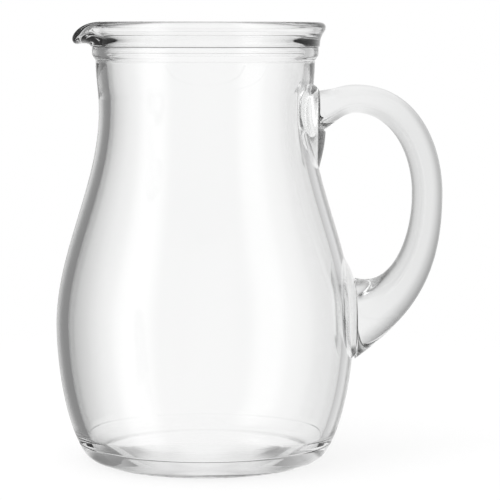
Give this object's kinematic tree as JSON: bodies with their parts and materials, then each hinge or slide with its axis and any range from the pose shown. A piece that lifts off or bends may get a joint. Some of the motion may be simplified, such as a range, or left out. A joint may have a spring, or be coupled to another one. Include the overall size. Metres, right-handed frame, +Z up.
{
  "type": "jug",
  "caption": "Clear glass serving jug with a pear-shaped body, banded neck, flared collar with a pulled spout, and a solid looped handle welded to the side.",
  "frame": {"origin": "on the vessel's axis, on the standing plane under the base", "axes": "+Z up along the vessel's axis, +X towards the handle, -X towards the spout"},
  "size_m": [0.1599, 0.1236, 0.1815],
  "materials": {
    "clear_glass": "clear, fire-polished, glossy"
  },
  "bodies": {
    "root": {"vessel": "clear_glass", "upper_handle_pad": "clear_glass", "lower_handle_pad": "clear_glass", "handle": "clear_glass"}
  },
  "joints": []
}
